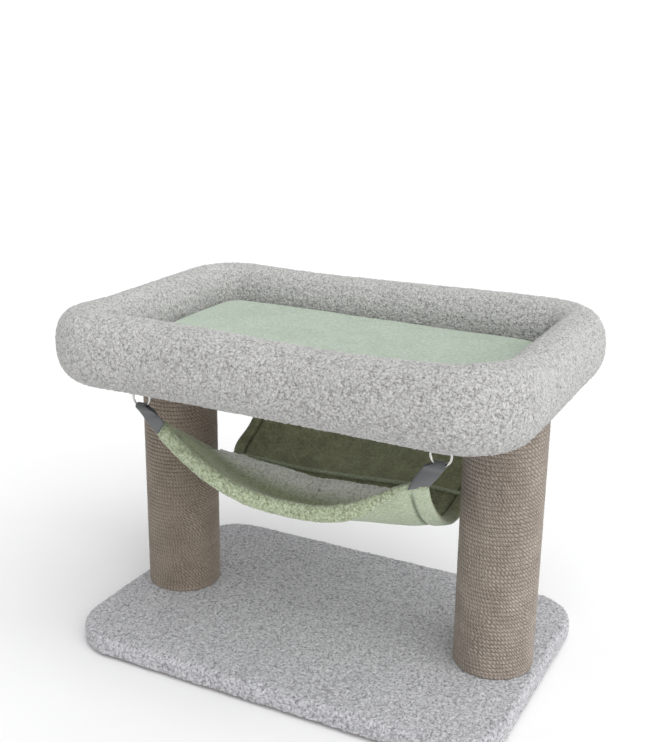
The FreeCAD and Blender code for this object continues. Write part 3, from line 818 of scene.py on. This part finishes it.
def edge_roll(name, side, width, thick, narrow, lay, rows=220, around=26):
    """Padded band over the sling's front (-1) or back (1) edge, square to the edge's own slope.

    narrow is the share of its width that it loses towards the right end.
    """
    u = np.linspace(-1, 1, rows)
    edge = sling_point(u, np.full(rows, float(side)))
    along = np.gradient(edge, axis=0)
    along /= np.linalg.norm(along, axis=1, keepdims=True)
    outward = np.tile([0.0, float(side), 0.0], (rows, 1))
    down = np.cross(along, outward) * side
    down /= np.linalg.norm(down, axis=1, keepdims=True)
    down *= np.sign(-down[:, 2:3])
    angle = 2 * math.pi * np.arange(around) / around
    c, s = np.cos(angle), np.sin(angle)
    tall = np.sign(c) * np.abs(c) ** 0.8
    deep = np.sign(s) * np.abs(s) ** 0.8 * thick / 2
    soft = 1 + 0.05 * waves(u, 41 + side, 6, 0.9)
    taper = np.sqrt(np.clip(1 - np.abs(u) ** 60, 0.05, 1))
    half = width / 2 * (1 - narrow * smoothstep(0.45, 0.92, u))
    centre = edge + down * (half - 3.0)[:, None] + outward * (thick / 2 - 4.0)
    points = (centre[:, None] + down[:, None] * (tall[None] * (half * soft * taper)[:, None])[..., None]
              + outward[:, None] * (deep[None] * (soft * taper)[:, None])[..., None])
    faces = [list(f) for f in grid_faces(rows, around, False, True)]
    faces += [list(range(around)), list(range((rows - 1) * around, rows * around))[::-1]]
    # Marks the whole roll for the flannel's painted inside shade; the sherpa of the front hem does not read
    # it.
    inside = np.ones(rows * around)
    return fix_normals(mesh_object(name, points.reshape(-1, 3), faces, lay, values={"inside": inside}))


def make_piping():
    """Thin corded seam where the lining meets the back wall."""
    rows, around, radius = 160, 12, 2.4
    u = np.linspace(-0.9, 0.97, rows)
    v = seam_line(u)
    normal = sling_normal(u, v)
    lift = 2.6 + 3.0 * (1 - smoothstep(0.7, 0.9, np.abs(u)))
    line = sling_point(u, v) + normal * lift[:, None]
    along = np.gradient(line, axis=0)
    along /= np.linalg.norm(along, axis=1, keepdims=True)
    side = np.cross(along, normal)
    angle = 2 * math.pi * np.arange(around) / around
    points = line[:, None] + radius * (np.cos(angle)[None, :, None] * normal[:, None]
                                       + np.sin(angle)[None, :, None] * side[:, None])
    faces = [list(f) for f in grid_faces(rows, around, False, True)]
    faces += [list(range(around)), list(range((rows - 1) * around, rows * around))[::-1]]
    # A quarter of the flannel's painted inside shade, so the cord reads lighter than the shaded wall.
    inside = np.full(rows * around, 0.25)
    return fix_normals(mesh_object("sling_piping", points.reshape(-1, 3), faces, green_flannel,
                                   values={"inside": inside}))


STRAP_LOOP, STRAP_LAYER, STRAP_SHIFT, STRAP_BOW = 4.6, 1.3, 1.6, 0.9
STRAP_HALF, STRAP_FOLD_HALF = 10.8, 5.8
# Where each strap's lower edge lies: its middle, half of its width as a vector, and how far the
# strap is drawn towards the middle of the tree where it leaves the ring.
STRAP_ENDS = {"front_left": ((-151.0, -122.0, 278.5), (5.5, -1.0, 8.0), 5.0),
              "front_right": ((158.0, -118.0, 270.0), (10.2, 4.8, 2.6), 4.0),
              "back_left": ((-150.8, 112.2, 263.4), (9.0, 2.0, 0.0), 4.0),
              "back_right": ((150.8, 112.2, 263.4), (9.0, -2.0, 0.0), 4.0)}


def make_strap(place):
    """Webbing folded over the ring's wire, both layers running down into the sling's corner."""
    tip, half_edge, inset = (np.array(a) for a in STRAP_ENDS[place])
    end, side = (-1 if place.startswith("front") else 1), (-1 if place.endswith("left") else 1)
    ring_low, ring_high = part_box("ring_" + place)
    wire = (ring_high.y - ring_low.y) / 2
    middle_x, middle_y = (ring_low.x + ring_high.x) / 2, (ring_low.y + ring_high.y) / 2
    pivot = np.array([middle_x, middle_y, ring_low.z + wire]) / MM
    drop = np.array([0, tip[1] - pivot[1], tip[2] - pivot[2]])
    length = np.linalg.norm(drop)
    down = drop / length
    out = np.cross(down, [1, 0, 0]) * (1 if np.cross(down, [1, 0, 0])[1] * end > 0 else -1)
    layer, first = STRAP_LAYER * 0.58, 8.0
    path = [(t, -layer, STRAP_HALF, 1) for t in np.linspace(length, first, 24)]
    for turn in np.linspace(-40, -320, 27):
        angle = math.radians(turn)
        spread = float(smoothstep(50, 125, abs(turn + 180)))
        half = STRAP_FOLD_HALF + (STRAP_HALF - STRAP_FOLD_HALF) * spread
        path.append((STRAP_LOOP * math.cos(angle), STRAP_LOOP * math.sin(angle), half,
                     0.12 + 0.88 * spread))
    path += [(t, layer, STRAP_HALF, 1) for t in np.linspace(first, length, 24)]
    along, offset, half, drawn = (np.array(a, float) for a in zip(*path))
    travel = np.clip(along, 0, None) / length
    turned = smoothstep(0.15, 1.0, travel)[:, None]
    wide = (1 - turned) * np.array([1.0, 0, 0]) + turned * half_edge / np.linalg.norm(half_edge)
    wide /= np.linalg.norm(wide, axis=1, keepdims=True)
    half = half + (np.linalg.norm(half_edge) - STRAP_HALF) * turned[:, 0]
    bow = STRAP_BOW * np.sin(np.clip(travel, 0, 1) * math.pi)
    centre = pivot + along[:, None] * down + (offset + bow)[:, None] * out
    start = -side * inset * drawn
    centre[:, 0] += start + (tip[0] - pivot[0] - start) * travel
    if end < 0:
        centre[:, 0] -= STRAP_SHIFT * (offset < 0) * np.sin(travel * math.pi) ** 0.5
    across = np.linspace(-1, 1, 15)
    middle = centre[:, None] + (across[None] * half[:, None])[..., None] * wide[:, None]
    ahead = np.gradient(centre, axis=0)
    ahead -= (ahead * wide).sum(1, keepdims=True) * wide
    ahead /= np.linalg.norm(ahead, axis=1, keepdims=True)
    normal = np.cross(ahead, wide)
    edge = np.where(np.abs(across) > 0.86, 0.7, 1.0)
    stitch = 1 - 0.4 * np.exp(-((np.abs(across) - 0.74) / 0.07) ** 2)
    thick = normal[:, None] * (STRAP_LAYER / 2 * edge * stitch)[None, :, None]
    points, faces = closed_sheet(middle + thick, middle - thick)
    strap = fix_normals(mesh_object("webbing_strap_" + place, points, faces, webbing))
    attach(strap, "hammock")
    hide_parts("strap_" + place)
    return strap


def make_hammock():
    """The sling with its lining, hems, seam and straps, all on the hammock's body."""
    straps = [make_strap(place) for place in STRAP_ENDS]
    shell = make_shell()
    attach(shell, "hammock")
    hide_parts("hammock_shell")
    lining = make_lining()
    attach(lining, "hammock")
    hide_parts("hammock_lining")
    front = edge_roll("sling_hem_front", -1, 18.5, 11.0, 0.7, green_sherpa)
    pile_modifier(front, SHERPA_CELL, 0.0018)
    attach(front, "hammock")
    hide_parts("hammock_hem_front")
    back = edge_roll("sling_hem_back", 1, 13.0, 6.5, 0.0, green_flannel)
    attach(back, "hammock")
    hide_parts("hammock_hem_back")
    piping = make_piping()
    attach(piping, "hammock")
    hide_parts("hammock_piping")


# ---------------------------------------------------------------- CAD nodes that stay
def finish_nodes():
    """Give the hard CAD parts their finishes."""
    finishes = {"base_board": board, "bed_board": board, "base_feet": rubber, "mat_backing": felt}
    for name, node in NODES.items():
        if name.startswith(("screw_eye", "ring_")):
            finishes[name] = chrome
        elif name.startswith("post_plug"):
            finishes[name] = plug_wood
        elif name.startswith("post_tube"):
            finishes[name] = cardboard
        elif name.endswith(("bolts", "washers", "staples", "inserts")):
            finishes[name] = zinc
    for name, finish in finishes.items():
        slots = NODES[name].material_slots
        for k in range(len(slots)):
            slots[k].material = finish


# ---------------------------------------------------------------- stage, light and camera
FLOOR_REACH, SUN_ENERGY, SUN_ANGLE, SUN_DIRECTION, SKY_LEAN = 120000, 1.7, 60, (-0.62, 0.42, -1.0), 0.42


def make_stage():
    """Pale floor, a sky that is brightest low down and on the right, and one soft sun."""
    corners = [(x * FLOOR_REACH, y * FLOOR_REACH, 0) for x, y in ((-1, -1), (1, -1), (1, 1), (-1, 1))]
    pale = plain_material("floor", (0.84, 0.84, 0.84), (0.86, 0.86, 0.86), 3.0, 0.9)
    mesh_object("floor", corners, [(0, 1, 2, 3)], pale)
    world = bpy.data.worlds.new("studio")
    world.use_nodes = True
    tree = world.node_tree
    direction = add(tree, "ShaderNodeSeparateXYZ")
    tree.links.new(add(tree, "ShaderNodeTexCoord").outputs["Generated"], direction.inputs[0])
    sky = ramp(tree, direction.outputs[2], [(0.05, (1.4, 1.4, 1.4)), (0.3, (0.8, 0.8, 0.81))])
    lean = math_node(tree, "MULTIPLY_ADD", direction.outputs[0], SKY_LEAN)
    lean.node.inputs[2].default_value = 1.0
    tree.links.new(sky, tree.nodes["Background"].inputs[0])
    tree.links.new(lean, tree.nodes["Background"].inputs[1])
    bpy.context.scene.world = world
    lamp = bpy.data.lights.new("key", "SUN")
    lamp.energy, lamp.angle = SUN_ENERGY, math.radians(SUN_ANGLE)
    holder = bpy.data.objects.new("key", lamp)
    holder.rotation_euler = Vector(SUN_DIRECTION).to_track_quat("-Z", "Y").to_euler()
    bpy.context.scene.collection.objects.link(holder)


VIEW_AZIMUTH, VIEW_ELEVATION, VIEW_ROLL = 27.26, 17.57, 0.58
VIEW_TARGET, VIEW_DISTANCE = (-0.0148, 0, 0.3356), 1.2894
LENS, SENSOR, LENS_SHIFT = 55.07, 36.0, (0.0027, -0.0034)


def make_camera():
    """Camera in front, a little to the right and above, turned to look at the bed."""
    azimuth, elevation, roll = (math.radians(a) for a in (VIEW_AZIMUTH, VIEW_ELEVATION, VIEW_ROLL))
    back = Vector((math.sin(azimuth) * math.cos(elevation), -math.cos(azimuth) * math.cos(elevation),
                   math.sin(elevation)))
    lens = bpy.data.cameras.new("camera")
    lens.lens, lens.sensor_width = LENS, SENSOR
    lens.shift_x, lens.shift_y = LENS_SHIFT
    holder = bpy.data.objects.new("camera", lens)
    holder.location = Vector(VIEW_TARGET) + back * VIEW_DISTANCE
    holder.rotation_mode = "QUATERNION"
    holder.rotation_quaternion = (-back).to_track_quat("-Z", "Y") @ Quaternion((0, 0, 1), roll)
    bpy.context.scene.collection.objects.link(holder)
    bpy.context.scene.camera = holder


make_camera()
make_stage()
make_rim()
make_base()
make_bed_underside()
make_mat()
for post in ("left", "right"):
    make_rope(post)
make_hammock()
finish_nodes()
bpy.context.scene.view_settings.view_transform = "Standard"
bpy.context.view_layer.update()
